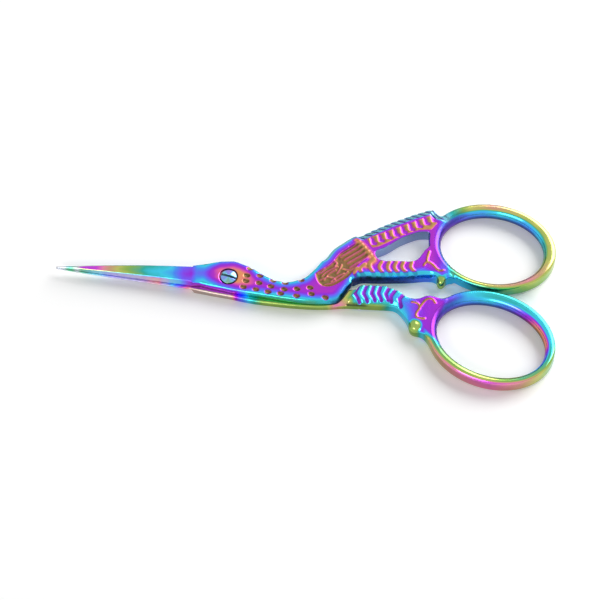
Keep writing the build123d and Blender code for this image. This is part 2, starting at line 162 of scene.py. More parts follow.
REAR_BELLY = [
    (37, -5.3), (38.6, -5.6), (39.7, -6.5), (40.6, -7.6), (41.4, -8.9), (41.9, -10.2), (42.4, -11.3),
    (43.5, -11.9), (44.7, -12.2), (45.8, -13.1), (47.5, -14.8), (49.45, -17.325),
]
REAR_BACK = [
    (50.5, -2.8), (49.4, -3), (47.3, -2.5), (45.9, -2.4), (44.1, -3.2), (42.8, -3.4), (41.4, -3.1),
    (39.5, -1.7), (37.1, -0.75), (35.9, -0.35),
]

# Lines of the relief
DIMPLES = [
    (4.8, 2.5), (7.2, 0.6), (10.3, -0.5), (13.1, -1), (16.7, 0), (4.2, 0.5), (4.1, -1), (7.1, -1.4),
    (9.9, -2.2), (13, -2.8), (15.9, -2.5), (18.9, -2), (19.3, -3.7), (3.6, -2.7), (6.5, -3.2),
    (9.3, -3.7), (12.2, -4), (15.9, -4.4), (22.5, -4.4),
]
PANEL = [
    (19.8, 1.9), (20.1, 0.7), (20.8, -0.6), (21.8, -1.4), (23.1, -1.55), (24.6, -1), (26.1, 0.15),
    (27.2, 1.1), (28.5, 2.9), (30.4, 5.8), (32.3, 7.4), (31.3, 9.2), (30.1, 10.7), (29.3, 11.2),
    (28, 10.5), (26.4, 9.1), (25, 7.6), (24, 5.9), (22.5, 4.1), (20.7, 2.8),
]
RIDGES = [
    ((24.7, 7.8), (29.5, 11.6)), ((25.5, 7), (30.2, 10.7)),
    ((26.4, 6.2), (30.9, 9.8)), ((27.2, 5.3), (31.7, 8.9)),
    ((27.8, 4.2), (32.4, 8)),
]
FEATHERS = [
    ((21.4, 1.3), (22.25, 2.45), (23.35, 3.3), (24.9, 4.25)),
    ((21, 0.2), (22.55, 1.1), (23.95, 1.15), (24.7, 0.1)),
    ((22.2, -0.85), (23.55, -0.5), (24.9, 0.4), (26.2, 1.6), (27.25, 3)),
    ((24.8, 2.3), (25.6, 4), (25.8, 4.85)),
    ((26.05, 3.75), (28.15, 3.6), (29.8, 5.3)),
    ((23, 4.9), (23.9, 5.7), (24.6, 5.3), (24.2, 4.2)),
    ((22, 0.3), (23.1, 2.2), (24.5, 3.3)),
    ((23.6, 0.1), (25, 1.5), (26.5, 2.5)),
    ((20.6, 2), (21.3, 2.4), (22, 3.4)),
]
GOLD_LINE = [(28.8, 12), (30.6, 9.9), (32, 8.2), (33.2, 6.4), (31.6, 4.8)]
GOLD_WIDTH = 2.8
PAD_ROW = ((32.6, 11.7), (46.4, 18.9))
PAD_COUNT = 9
PAD_TURN = 104.0
PAD_SIZE = (2.15, 0.95)
PAD_DEPTH = 0.14
PAD_LINE_HEIGHT = 0.08
PAD_BAND = [
    (31.1, 12.3), (32.6, 13.1), (46.9, 20.3), (47.4, 17.5), (46.1, 15.7), (43.3, 15.4), (40.6, 14.3),
    (38.2, 12.9), (35.8, 11.2), (34, 10.2), (32.6, 9.8),
]
TAIL_CHEVRONS = [
    ((30, -0.7), (29.2, -2.8), (30.4, -4.8)), ((31.8, -0.7), (31.2, -2.8), (32.2, -4.6)),
    ((33.4, -0.7), (33, -2.7), (33.9, -4.4)), ((35, -0.7), (34.6, -2.6), (35.4, -4.3)),
    ((36.9, -1.1), (36.3, -2.7), (36.9, -4.2)), ((38.4, -1.6), (37.5, -3.2), (37.7, -4.5)),
    ((40.3, -2.6), (39.5, -3.9), (40, -5.7)),
]
WING_CHEVRONS = [
    ((29.5, 3.9), (28.9, 2.5), (29.6, 1.9)), ((31.1, 5.2), (30.1, 3.5), (31.1, 2.4)),
    ((33.1, 6.8), (32.2, 5.4), (33.4, 2.7)), ((35, 6), (34.5, 4.8), (35.5, 2.8)),
    ((36.8, 6.2), (36.4, 4.6), (37.2, 3.1)), ((38.4, 6.2), (38, 4.7), (38.9, 3.3)),
    ((40, 6.2), (39.7, 4.9), (40.8, 3.4)), ((41.9, 6.3), (41.7, 5.2), (42.9, 3.6)),
]
UPPER_TWIG = [
    ((45.8, 9.5), (45.5, 8.2), (45.4, 6.6)),
    ((44.7, 5.7), (45.4, 6.6), (46.6, 6.1), (47.5, 5.1), (48.5, 4.4), (49.2, 4.6)),
]
LOWER_TWIG = [
    ((42.4, -4.6), (43.8, -5), (44.2, -6), (43.6, -7.3), (43.6, -8.5), (45.4, -8.9)),
    ((44.2, -6), (45.1, -4.4), (46, -3.5), (46.9, -3.5), (47.7, -4.5)),
]
CREST_LINE = [(25, 11.1), (47.3, 22.6)]

# The knees' knobs: place, radius, squash of their height and fillet
UPPER_KNEE = ((48.8, 1.8), 0.9, 0.62, 0.5)
LOWER_KNEE = ((43.3, -10.7), 1.3, 0.8, 0.6)

# Colours of the film by its order, of the pale steel, which also paints highlights, and of the painted
# shade
FILM_END = 1.25
FILM = [
    (0.0, (0.62, 0.54, 0.28)), (0.07, (0.89, 0.58, 0.4)), (0.14, (0.87, 0.38, 0.62)),
    (0.21, (0.69, 0.22, 0.76)), (0.29, (0.57, 0.2, 0.84)), (0.37, (0.45, 0.36, 0.95)),
    (0.46, (0.3, 0.54, 0.94)), (0.55, (0.26, 0.78, 0.9)), (0.64, (0.22, 0.66, 0.6)),
    (0.73, (0.52, 0.68, 0.34)), (0.81, (0.72, 0.73, 0.4)), (0.9, (0.76, 0.61, 0.47)),
    (1.0, (0.88, 0.52, 0.66)), (1.1, (0.8, 0.3, 0.8)), (1.2, (0.6, 0.24, 0.9)),
]
STEEL = (0.72, 0.74, 0.78)
PAINTED_SHADE_COLOUR = (0.1, 0.12, 0.16)
CLOUD_SCALE = 260.0
CLOUD_SHIFT = 0.05
FINE_SCALE = 1600.0
FINE_SHIFT = 0.012
SCRATCH_SCALE = 5200.0
SCRATCH_STRETCH = (0.12, 1.0, 1.0)
SCRATCH_STRENGTH = 0.12
SCRATCH_DEPTH = 0.02
ROUGH = (0.12, 0.2)
PAINTED_SHADE_ROUGH = 0.25
DULL_ROUGH = 0.22

# The film's order on single features
RELIEF_ORDER = 0.02
CREST_ORDER = 0.60
KEEL_ORDER = 0.57
OPENING_ORDER = 0.47
TAIL_ORDER = 0.27
KNEE_ORDER = 0.76

# How much painted shade lies on single features, darkening them where shade and dark reflections fall
NOTCH_SHADE = 0.85
DENT_SHADE = 0.8
LINE_SHADE = 0.55
RECESS_SHADOW = 0.9
BREAST_SHADE = 0.95
OPENING_SHADE = 0.3
TAIL_SHADE = 0.62
SHOULDER_SHADE = 0.85
RING_SHADE = 0.72
LEG_END_SHADE = 0.6

# Stretches along X where features fade in, and where some fade out again
NECK_START = (-10, -8)
BODY_START = (-8, -3)
TWIG_START = (41, 42)
LEG_START = (44, 47.5)
LEDGE = (-10, -8, 0.5, 2)
BREAST_DARK = (21.5, 25, 39, 46.5)
SHOULDER_DARK = (24, 26, 31, 33)
TAIL = (24, 26, 44, 47)
TAIL_RIM = (22, 26, 41, 44)
KEEL = (27, 30, 46, 48.5)
KEEL_LINE = (28, 30, 49.5, 50.5)

# Width of the film's rim, the normals between a wall and a face, and the relief that looks dull
RIM_REACH = 2.5
FACING = (0.3, 0.7)
DULL_FROM = (0.02, 0.2)

# The film's order along the halves: stops of (X in mm, order)
FRONT_STOPS = [
    (-37.5, 0.64), (-35.2, 0.68), (-34.4, 1.08), (-30.8, 1.06), (-28.5, 0.88), (-24, 0.72), (-19, 0.58),
    (-13, 0.48), (-10.4, 0.3), (-8.6, 0.28), (-7.4, 0.42), (-5.6, 0.4), (-3.8, 0.24), (-2.2, 0.14),
    (2.2, 0.06), (4, 0.1), (6.5, 0.22), (12, 0.27), (18, 0.24), (26, 0.22), (36, 0.26), (44, 0.25),
    (46.5, 0.22), (49, 0.34),
]
BLADE_WALL_STOPS = [(-34, 0.66), (-30, 0.56), (-27, 0.36), (-21, 0.3), (-18, 0.14), (-16, 0.1)]
FRONT_WALL_STOPS = BLADE_WALL_STOPS + [
    (-13.2, 0.54), (-11, 0.5), (-9, 0.27), (2, 0.28), (5, 0.62), (20, 0.65), (27, 0.45), (30, 0.42),
    (46, 0.44), (49, 0.56),
]
REAR_NECK_STOPS = BLADE_WALL_STOPS + [
    (-13, 0.54), (-10, 0.16), (-8, 0.04), (1, 0.04), (2.6, 0.34), (5, 0.54), (8, 0.74), (23, 0.76),
]
REAR_STOPS = REAR_NECK_STOPS + [
    (25, 0.9), (27.6, 0.74), (29.2, 0.5), (38, 0.47), (42, 0.36), (45, 0.28), (49, 0.24),
]
REAR_WALL_STOPS = REAR_NECK_STOPS + [
    (24.5, 0.96), (27, 0.76), (35, 0.74), (38, 0.56), (41, 0.54), (43, 0.72), (45, 0.56),
]

# The same round each finger ring, by degrees from +X: its face, its inner wall, its outer wall
UPPER_RING_STOPS = [
    [(-180, 0.42), (-158, 0.48), (-143, 0.62), (-120, 0.78), (-90, 0.84), (-45, 0.95), (-8, 0.79),
     (45, 0.8), (92, 0.92), (122, 0.78), (142, 0.6), (160, 0.48), (180, 0.42)],
    [(-180, 0.28), (-160, 0.5), (-130, 0.74), (-40, 0.88), (-8, 0.62), (35, 0.44), (80, 0.5),
     (120, 0.42), (150, 0.3), (180, 0.28)],
    [(-180, 0.4), (-140, 0.5), (-110, 0.64), (-70, 0.7), (-45, 0.76), (0, 0.78), (90, 0.86),
     (140, 0.6), (180, 0.4)],
]
LOWER_RING_STOPS = [
    [(-180, 0.62), (-150, 0.72), (-85, 0.78), (-55, 0.68), (-35, 0.7), (0, 0.56), (45, 0.6),
     (90, 0.62), (118, 0.54), (135, 0.36), (155, 0.3), (170, 0.46), (180, 0.62)],
    [(-180, 0.3), (-160, 0.64), (-60, 0.7), (-38, 0.46), (-20, 0.34), (-8, 0.06), (12, 0.02),
     (30, 0.14), (45, 0.28), (90, 0.48), (120, 0.44), (160, 0.3), (180, 0.28)],
    [(-180, 0.84), (-140, 0.98), (-90, 1.08), (-62, 0.96), (-35, 0.78), (0, 0.6), (90, 0.6),
     (130, 0.44), (160, 0.6), (180, 0.84)],
]

# The camera, from the photograph's own perspective
CAMERA_AZIMUTH = 3.45
CAMERA_ELEVATION = 57.0
CAMERA_LENS = 200.0
CAMERA_SENSOR = 36.0
CAMERA_AIM = (16.8, -5.55, 3.6)
FRAME_WIDTH = 137.3
CLIP_START = 0.01
CLIP_END = 10.0

# Lights and card: place, aim and size in mm
KEY_BOX = ((345, 350, 265), (20, 0, 0), (560, 480))
KEY_POWER = 5.1
GLEAM_BOX = ((-150, -350, 260), (50, 0, 0), (260, 120))
GLEAM_POWER = 0.6
BACK_CARD = ((0, 460, 40), (20, 0, 0), (800, 80))
CARD_COLOUR = (0.02, 0.02, 0.02, 1)
FLOOR_COLOUR = (0.95, 0.95, 0.95, 1)
FLOOR_ROUGH = 0.9
FLOOR_SPREAD = 3.0
WHITE = (1, 1, 1, 1)
WORLD_LIGHT = 0.22
FLOOR_GLOW = 0.15
FLOOR_GAP = 0.05


def smooth_line(points, steps=6):
    """Points along a cubic spline through the given ones, its second derivative continuous."""
    points = np.array(points, float)
    count = len(points)
    if count < 3:
        return points
    spans = np.hypot(*np.diff(points, axis=0).T)
    matrix = np.eye(count)
    right = np.zeros((count, 2))
    for i in range(1, count - 1):
        matrix[i, i - 1:i + 2] = spans[i - 1], 2 * (spans[i - 1] + spans[i]), spans[i]
        slopes = (points[i + 1] - points[i]) / spans[i] - (points[i] - points[i - 1]) / spans[i - 1]
        right[i] = 6 * slopes
    bends = np.linalg.solve(matrix, right)
    out = []
    for i, span in enumerate(spans):
        b = np.linspace(0, 1, steps, endpoint=False)[:, None]
        a = 1 - b
        out.append(
            a * points[i] + b * points[i + 1]
            + ((a ** 3 - a) * bends[i] + (b ** 3 - b) * bends[i + 1]) * span ** 2 / 6)
    out.append(points[-1:])
    return np.vstack(out)


def arc_line(first, last, bow, steps=24):
    """A shallow arc between two points, its middle moved across by bow along Y."""
    share = np.linspace(0, 1, steps)
    first, last = np.array(first), np.array(last)
    line = first + (last - first) * share[:, None]
    line[:, 1] += bow * (1 - (2 * share - 1) ** 2)
    return line


def line_distance(line, x, y):
    """Distance from grid points to an open line of points."""
    line = np.asarray(line, float)
    best = np.full(np.broadcast(x, y).shape, np.inf)
    for (ax, ay), (bx, by) in zip(line[:-1], line[1:]):
        ex, ey = bx - ax, by - ay
        length = ex * ex + ey * ey
        if length == 0:
            continue
        dx, dy = x - ax, y - ay
        along = np.clip((dx * ex + dy * ey) / length, 0, 1)
        best = np.minimum(best, (dx - along * ex) ** 2 + (dy - along * ey) ** 2)
    return np.sqrt(best)


def signed_distance(line, x, y):
    """Distance to a closed line of points, negative inside it."""
    line = np.asarray(line, float)
    line = np.vstack([line, line[:1]])
    inside = np.zeros(np.broadcast(x, y).shape, bool)
    for (ax, ay), (bx, by) in zip(line[:-1], line[1:]):
        if ay == by:
            continue
        crosses = (ay > y) != (by > y)
        inside ^= crosses & (x < (bx - ax) * (y - ay) / (by - ay) + ax)
    distance = line_distance(line, x, y)
    return np.where(inside, -distance, distance)


def oval_share(x, y, half_length, half_width, tilt, centre):
    """Shares of a tilted oval's half sizes, along and across it."""
    angle = math.radians(tilt)
    dx, dy = x - centre[0], y - centre[1]
    u = (dx * math.cos(angle) + dy * math.sin(angle)) / half_length
    v = (dy * math.cos(angle) - dx * math.sin(angle)) / half_width
    return u, v


def rim_distance(u, v, half_length, half_width):
    """Distance to an oval, negative inside, close to exact near its rim."""
    reach = np.sqrt(u * u + v * v) + TINY
    slope = np.sqrt((u / half_length) ** 2 + (v / half_width) ** 2) + TINY
    return (reach - 1) * reach / slope


def oval_distance(x, y, half_length, half_width, tilt, centre):
    u, v = oval_share(x, y, half_length, half_width, tilt, centre)
    return rim_distance(u, v, half_length, half_width)


def round_both(a, b, radius):
    """Where two solids overlap, with the edge between their faces rounded."""
    u = np.maximum(a + radius, 0)
    v = np.maximum(b + radius, 0)
    return np.minimum(np.maximum(a, b), -radius) + np.sqrt(u * u + v * v)


def join(a, b, fillet):
    """Both solids, with a fillet where they meet."""
    share = np.clip(0.5 + 0.5 * (b - a) / fillet, 0, 1)
    return b + (a - b) * share - fillet * share * (1 - share)


def bump(distance, width):
    """1 on a line, 0 from half a width away, smooth between."""
    share = np.clip(1 - (2 * distance / width) ** 2, 0, 1)
    return share * share


def step(value, low, high):
    """0 up to low, 1 from high, smooth between."""
    share = np.clip((value - low) / (high - low), 0, 1)
    return share * share * (3 - 2 * share)


def between(value, start, full, fade, end):
    """1 from full to fade, 0 up to start and from end, smooth between."""
    return step(value, start, full) * (1 - step(value, fade, end))


def oval_reach(half_length, half_width, tilt):
    """Half height of a tilted oval."""
    angle = math.radians(tilt)
    return math.hypot(half_length * math.sin(angle), half_width * math.cos(angle))


class Ring:
    """One finger ring: an oval bar whose hole sits a little lower than its outside."""

    def __init__(self, half_length, tilt, bar, drop, side):
        self.tilt = tilt
        self.hole = (half_length, HOLE_HALF_WIDTH)
        self.outside = (half_length + bar[0], HOLE_HALF_WIDTH + bar[1])
        reach = oval_reach(*self.outside, tilt)
        x = HOLE_START + oval_reach(HOLE_HALF_WIDTH, half_length, tilt)
        self.centre = (x, reach + RING_GAP) if side > 0 else (x, -reach)
        self.hole_centre = (x, self.centre[1] - drop)

    def outer(self, x, y):
        return oval_distance(x, y, *self.outside, self.tilt, self.centre) + MESH_SLACK

    def inner(self, x, y):
        return oval_distance(x, y, *self.hole, self.tilt, self.hole_centre)

    def field(self, x, y, z):
        """The bar: a crisp outer wall, a narrow flat top and an inner wall rounded into it."""
        u = np.maximum(RING_ROUND - self.inner(x, y), 0) / RING_ROUND
        v = np.abs(z - MID_HEIGHT) / MID_HEIGHT
        return round_both(rim_distance(u, v, RING_ROUND, MID_HEIGHT), self.outer(x, y), RING_EDGE)


class Grid:
    """A block of sample points, closer together where there is relief."""

    def __init__(self, x_runs, y_runs, z_run):
        self.x = self.spread(x_runs)
        self.y = self.spread(y_runs)
        self.z = self.spread([z_run])
        self.flat = (self.x[:, None], self.y[None, :])
        self.block = (self.x[:, None, None], self.y[None, :, None], self.z[None, None, :])

    @staticmethod
    def spread(runs):
        parts = []
        for start, end, pitch in runs:
            parts.append(np.linspace(start, end, int(round((end - start) / pitch)), endpoint=False))
        return np.append(np.concatenate(parts), runs[-1][1])

    def window(self, line, margin):
        """The block of the grid near a line of points."""
        line = np.asarray(line, float)
        low, high = line.min(0) - margin, line.max(0) + margin
        ix = slice(*np.searchsorted(self.x, (low[0], high[0])))
        iy = slice(*np.searchsorted(self.y, (low[1], high[1])))
        return (ix, iy), self.x[ix][:, None], self.y[iy][None, :]


class Face:
    """Height of a half's top or bottom face over the grid, with what has been cut in it."""

    def __init__(self, grid, height, side):
        self.grid = grid
        self.side = side
        self.height = np.full((len(grid.x), len(grid.y)), float(height))
        self.film = np.zeros_like(self.height)
        self.painted_shade = np.zeros_like(self.height)

    def mark(self, spot, film, painted_shade):
        """Raises the maps of the relief's film and painted shade in a part of the grid."""
        self.film[spot] = np.maximum(self.film[spot], film)
        self.painted_shade[spot] = np.maximum(self.painted_shade[spot], painted_shade)

    def strokes(self, lines, width, amount, film=0.0, smooth=5, flat=False):
        """Several lines as one relief, so that they don't pile up where they meet."""
        total = np.zeros_like(self.height)
        for line in lines:
            line = smooth_line(line, smooth) if smooth else line
            spot, x, y = self.grid.window(line, width)
            total[spot] = np.maximum(total[spot], bump(line_distance(line, x, y), width))
        shape = step(total, 0.08, 0.4) if flat else total
        self.height += self.side * amount * shape
        # Painted shade on the strokes, raised or sunk, which also damps the lamps' highlights on them
        self.mark(..., film * step(total, 0.12, 0.5), 0.6 * film * step(total, 0.05, 0.4))

    def dimples(self):
        """Oval hollows with crisp rims along the neck."""
        length, width, depth = DIMPLE
        for centre in DIMPLES:
            spot, x, y = self.grid.window([centre], length)
            u, v = oval_share(x, y, length / 2, width / 2, DIMPLE_TURN, centre)
            hollow = np.clip(1 - u * u - v * v, 0, 1)
            self.height[spot] -= self.side * depth * hollow
            # Painted shade in each hollow
            self.mark(spot, np.minimum(hollow * 6, 1), np.minimum(hollow * 14, 1.3 - 0.4 * hollow))

    def limit(self, height, fillet):
        """Cuts the face down to another one, with a soft line between them."""
        self.height = self.side * join(self.side * self.height, self.side * height, fillet)

    def distance(self):
        slope_x = np.gradient(self.height, self.grid.x, axis=0)
        slope_y = np.gradient(self.height, self.grid.y, axis=1)
        stretch = np.sqrt(1 + np.minimum(slope_x ** 2 + slope_y ** 2, 4.0))
        return self.side * (self.grid.z - self.height[:, :, None]) / stretch[:, :, None]


def blade_height(x, side):
    """Height of a blade's outer face, which thins towards the point."""
    fall = (MID_HEIGHT - POINT_THICKNESS) * np.clip((-CHOIL - x) / (BLADE_LENGTH - CHOIL), 0, 1)
    return THICKNESS - fall if side > 0 else fall


def blade_bevel(face, line, width):
    """Field of the slope from the land along a blade's edge up to its outer face."""
    distance = line_distance(line, *face.grid.flat)
    land = MID_HEIGHT + EDGE_LAND * face.side
    rise = face.side * (blade_height(face.grid.flat[0], face.side) - land) / width
    height = face.side * (face.grid.z - land)
    return (height - (rise * distance)[:, :, None]) / np.sqrt(1 + rise * rise)[:, :, None]


def edge_slope(face, line, width, drop, share):
    """Slopes a face down towards a line, by drop over width, where share is above 0."""
    away = 1 - line_distance(line, *face.grid.flat) / width
    slope = THICKNESS + 0.5 * SLOPE_FILLET - drop * np.clip(away, -0.6, 1) * share
    face.limit(np.where(share > 0.01, slope, ABOVE), SLOPE_FILLET)


def sample(volume, spots):
    """Trilinear values of a grid's volume at fractional index positions."""
    base = np.floor(spots).astype(int)
    top = np.array(volume.shape) - 2
    base = np.clip(base, 0, top)
    part = np.clip(spots - base, 0, 1)
    i, j, k = base.T
    u, v, w = part.T
    out = 0
    for di, wu in ((0, 1 - u), (1, u)):
        for dj, wv in ((0, 1 - v), (1, v)):
            for dk, ww in ((0, 1 - w), (1, w)):
                out = out + volume[i + di, j + dj, k + dk] * wu * wv * ww
    return out


def to_index(axis, values):
    """Fractional index of each value on an axis."""
    found = np.clip(np.searchsorted(axis, values) - 1, 0, len(axis) - 2)
    return found + (values - axis[found]) / (axis[found + 1] - axis[found])


def surface(grid, field):
    """Vertices, faces and normals of the surface where the field is zero."""
    axes = (grid.x, grid.y, grid.z)
    inside = field < 0
    shape = np.array(field.shape)
    corners = list(np.ndindex(2, 2, 2))
    count = np.zeros(shape - 1, np.int8)
    for corner in corners:
        count += inside[tuple(slice(at, size - 1 + at) for at, size in zip(corner, shape))]
    cells = np.argwhere((count > 0) & (count < 8))
    number = np.full(shape - 1, -1, np.int32)
    number[tuple(cells.T)] = np.arange(len(cells))
    values = {corner: field[tuple((cells + corner).T)] for corner in corners}
    total = np.zeros((len(cells), 3))
    hits = np.zeros(len(cells))
    for start in corners:
        for axis in range(3):
            if start[axis]:
                continue
            end = tuple(1 if n == axis else start[n] for n in range(3))
            a, b = values[start], values[end]
            crosses = (a < 0) != (b < 0)
            point = np.tile(np.array(start, float), (len(cells), 1))
            point[:, axis] = np.where(crosses, a / np.where(crosses, a - b, 1), 0)
            total += point * crosses[:, None]
            hits += crosses
    spots = cells + total / hits[:, None]
    slopes = [np.gradient(field, axis, axis=n) for n, axis in enumerate(axes)]

    def field_at(points):
        """The field's value and slope at some points."""
        index = np.stack([to_index(axis, part) for axis, part in zip(axes, points.T)], 1)
        return sample(field, index), np.stack([sample(slope, index) for slope in slopes], 1)

    points = np.stack([
        np.interp(part, np.arange(len(axis)), axis) for axis, part in zip(axes, spots.T)], 1)
    limit = np.stack([np.gradient(axis)[part] for axis, part in zip(axes, cells.T)], 1) * 0.6
    low, high = points - limit, points + limit
    for _ in range(4):
        value, slope = field_at(points)
        length = np.maximum((slope ** 2).sum(1), 0.05)
        points = np.clip(points - slope * (value / length)[:, None] * 0.8, low, high)
    normal = field_at(points)[1]
    normal /= np.maximum(np.sqrt((normal ** 2).sum(1)), 1e-9)[:, None]

    faces = []
    for axis in range(3):
        low = [slice(1, -1)] * 3
        high = [slice(1, -1)] * 3
        low[axis] = slice(0, -1)
        high[axis] = slice(1, None)
        before, after = inside[tuple(low)], inside[tuple(high)]
        p, q = [n for n in range(3) if n != axis]
        for way in (True, False):
            found = np.argwhere((before != after) & (before == way))
            origin = found + [0 if n == axis else 1 for n in range(3)]
            around = []
            for dp, dq in ((-1, -1), (0, -1), (0, 0), (-1, 0)):
                cell = origin.copy()
                cell[:, p] += dp
                cell[:, q] += dq
                around.append(number[tuple(cell.T)])
            quad = np.stack(around, 1)
            faces.append(quad if way == (axis != 1) else quad[:, ::-1])
    return points, np.vstack(faces), normal


class Spots:
    """Points of a mesh, with what the grid's maps say at each."""

    def __init__(self, grid, points, normal):
        self.x, self.y, self.z = points.T
        self.nx, self.ny, self.nz = normal.T
        self.down = step(-self.nz, *FACING) * (1 - step(self.z, 0.5, 0.9))
        self.index = np.stack([
            to_index(grid.x, self.x), to_index(grid.y, self.y), np.zeros(len(points))], 1)

    def read(self, plan_map):
        return sample(np.repeat(plan_map[:, :, None], 2, 2), self.index)

    def read_both(self, above, below):
        """The top face's map, and on the underside its own."""
        return blend(self.read(above), self.read(below), self.down)


def blend(a, b, share):
    """a where share is 0, b where it is 1."""
    return a + (b - a) * share


def order_at(values, stops):
    """Film order at each value, from the given stops."""
    return np.interp(values, *zip(*stops))


def ring_film(spots, ring, stops, phase, plan):
    """Film order round a finger ring: its flat face, its inner wall and its outer wall."""
    outer, inner = ring.outer(spots.x, spots.y), ring.inner(spots.x, spots.y)
    out_x, out_y = spots.x - ring.centre[0], spots.y - ring.centre[1]
    facing = (spots.nx * out_x + spots.ny * out_y) / np.hypot(out_x, out_y)
    angle = np.degrees(np.arctan2(out_y, out_x))
    top, inside, outside = (order_at(angle, part) for part in stops)
    rise = (spots.z - MID_HEIGHT) / MID_HEIGHT
    inside = inside + 0.09 * rise
    outside = outside + 0.04 * rise
    middle = (outer + inner) / 2
    within = step(-facing, *FACING) * step(-middle, -0.6, 0.0)
    without = step(facing, *FACING) * step(middle, -0.6, 0.0)
    film = top * (1 - within - without) + inside * within + outside * without
    leg = step(-plan, 0.3, 1.3) * step(outer, -2.6, -1.0)
    leg = leg * np.maximum(step(spots.nz, 0.3, 0.8), spots.down)
    return blend(film, phase, np.maximum(step(outer, -0.3, 1.2), leg))


def knee_film(spots, knee, radius, phase):
    """Green gold on a leg's knee knob, running out round it."""
    reach = np.hypot(spots.x - knee[0], spots.y - knee[1])
    return blend(KNEE_ORDER, phase, step(reach, 0.8 * radius, 0.8 * radius + 1.0))


def painted_wall_shade(spots, ring):
    """Painted shade on a ring's inner wall: its lower half, and its end by the leg."""
    inner = ring.inner(spots.x, spots.y)
    low = 1 - step(spots.z, 0.4 * THICKNESS, 0.85 * THICKNESS)
    low = RING_SHADE * low * (1 - step(inner, 0.5, 1.1)) * (1 - step(spots.nz, *FACING))
    out_x, out_y = spots.x - ring.centre[0], spots.y - ring.centre[1]
    leg_end = step(-out_x / np.hypot(out_x, out_y), 0.45, 0.8)
    return np.maximum(low, LEG_END_SHADE * leg_end * (1 - step(inner, 1.2, 1.8)))


def tip_bare(x):
    """The film fades to bare steel at the point, and again in a band just behind it."""
    return np.maximum(1 - step(x, -38.6, -36.8), 0.85 * bump(np.abs(x + 35.1), 2.6))


def pale_band(x):
    """Painted highlight: pale stretches of the film along the blade's sides, mixed towards steel."""
    return np.maximum(0.8 * bump(np.abs(x + 14.6), 4.4), 0.75 * bump(np.abs(x + 22.5), 32.0))


def front_film(spots, plan, top, bottom, opening, ring):
    """Film order, pale steel with painted highlights, painted shade and dullness of the front half."""
    x, y = spots.x, spots.y
    plan, opening, barbs, crest = (
        spots.read(values) for values in (plan, opening, top.barbs, top.crest))
    crest = crest * (1 - spots.down)
    relief = spots.read_both(top.film, bottom.film)
    dark = spots.read_both(top.painted_shade, bottom.painted_shade)
    blade_up = step(-plan, 0.3, 0.5) * step(spots.nz, 0.0, 0.2)
    up = blend(blade_up, np.maximum(step(spots.nz, *FACING), spots.down), step(x, *NECK_START))
    rim = np.clip(1 + plan / RIM_REACH, 0, 1)
    lift = blend(0.10, blend(0.42, 0.12, step(x, *LEG_START)), step(x, *BODY_START))
    phase = blend(order_at(x, FRONT_STOPS) + lift * rim ** 1.3, RELIEF_ORDER, relief)
    notch = step(barbs, 0.08, 0.5)
    phase = blend(phase, CREST_ORDER - 0.2 * notch, crest)
    keel = between(x, *KEEL_LINE) * (1 - step(-plan, 0.9, 1.3))
    phase = blend(phase, KEEL_ORDER, keel * (1 - step(y, 4.2, 5.0)))
    side = blend(0.5, order_at(x, FRONT_WALL_STOPS), step(-spots.ny, -0.2, 0.4))
    phase = ring_film(spots, ring, UPPER_RING_STOPS, blend(side, phase, up), plan)
    phase = knee_film(spots, *UPPER_KNEE[:2], phase)
    in_opening = (1 - step(opening, 0.05, 0.25)) * (1 - up)
    phase = blend(phase, OPENING_ORDER, in_opening)
    # Steel through the film, and a painted highlight where pale_band pales the blade's walls
    bare_steel_and_sheen = np.maximum.reduce([
        0.6 * in_opening, 0.3 * crest, tip_bare(x), pale_band(x) * (1 - up)])
    edge = HEAD_RADIUS + RECESS_GAP
    # Painted shadow: a dark ring round the screw head in its recess
    recess = 1 - step(np.hypot(x, y), edge, edge + 0.12)
    # Painted shade on the front's walls over the gap by the rear's shoulder and under the keel
    breast = between(x, *BREAST_DARK) * (1 - step(y, 4.4, 5.2)) * (1 - up)
    # Painted shade in the crest's notches, the relief's hollows and over its raised lines, in the
    # recess, the gap, the opening's wall and the ring's inner wall
    painted_shade = np.maximum.reduce([
        NOTCH_SHADE * notch * crest, DENT_SHADE * dark * up,
        LINE_SHADE * step(relief, 0.03, 0.3) * up, RECESS_SHADOW * recess, BREAST_SHADE * breast,
        OPENING_SHADE * in_opening, painted_wall_shade(spots, ring)])
    return {"phase": phase, "bare_steel_and_sheen": bare_steel_and_sheen, "painted_shade": painted_shade, "dull": step(relief, *DULL_FROM)}


def rear_film(spots, plan, top, bottom, ring):
    """Film order, pale steel with painted highlights, painted shade and dullness of the rear half."""
    x = spots.x
    plan = spots.read(plan)
    relief = spots.read_both(top.film, bottom.film)
    up = np.maximum(step(spots.nz, *FACING), spots.down * step(x, 24.0, 27.0))
    rim = np.clip(1 + plan / RIM_REACH, 0, 1)
    phase = order_at(x, REAR_STOPS) + 0.16 * rim * between(x, *TAIL_RIM)
    twig = step(x, *TWIG_START)
    phase = blend(phase, TAIL_ORDER, relief * (1 - twig))
    phase = blend(phase, RELIEF_ORDER, relief * twig)
    phase = blend(order_at(x, REAR_WALL_STOPS), phase, up)
    phase = ring_film(spots, ring, LOWER_RING_STOPS, phase, plan)
    phase = knee_film(spots, *LOWER_KNEE[:2], phase)
    # Painted highlight: the ledge by the pivot and the pale bands are mixed towards pale steel; at the
    # tip it is bare steel
    ledge = 0.55 * between(x, *LEDGE)
    bare_steel_and_sheen = np.maximum.reduce([tip_bare(x), ledge, pale_band(x)])
    # Painted shade on the rear's step face by the gap between the halves
    shoulder = (1 - up) * step(spots.z, REAR_CEILING - 0.1, REAR_CEILING + 0.1)
    shoulder = shoulder * between(x, *SHOULDER_DARK)
    # Painted shade in the tail's chevron grooves and over the lower twig, and on the ring's inner wall
    painted_shade = np.maximum.reduce([
        TAIL_SHADE * relief * up, SHOULDER_SHADE * shoulder, painted_wall_shade(spots, ring)])
    return {"phase": phase, "bare_steel_and_sheen": bare_steel_and_sheen, "painted_shade": painted_shade, "dull": step(relief, *DULL_FROM)}


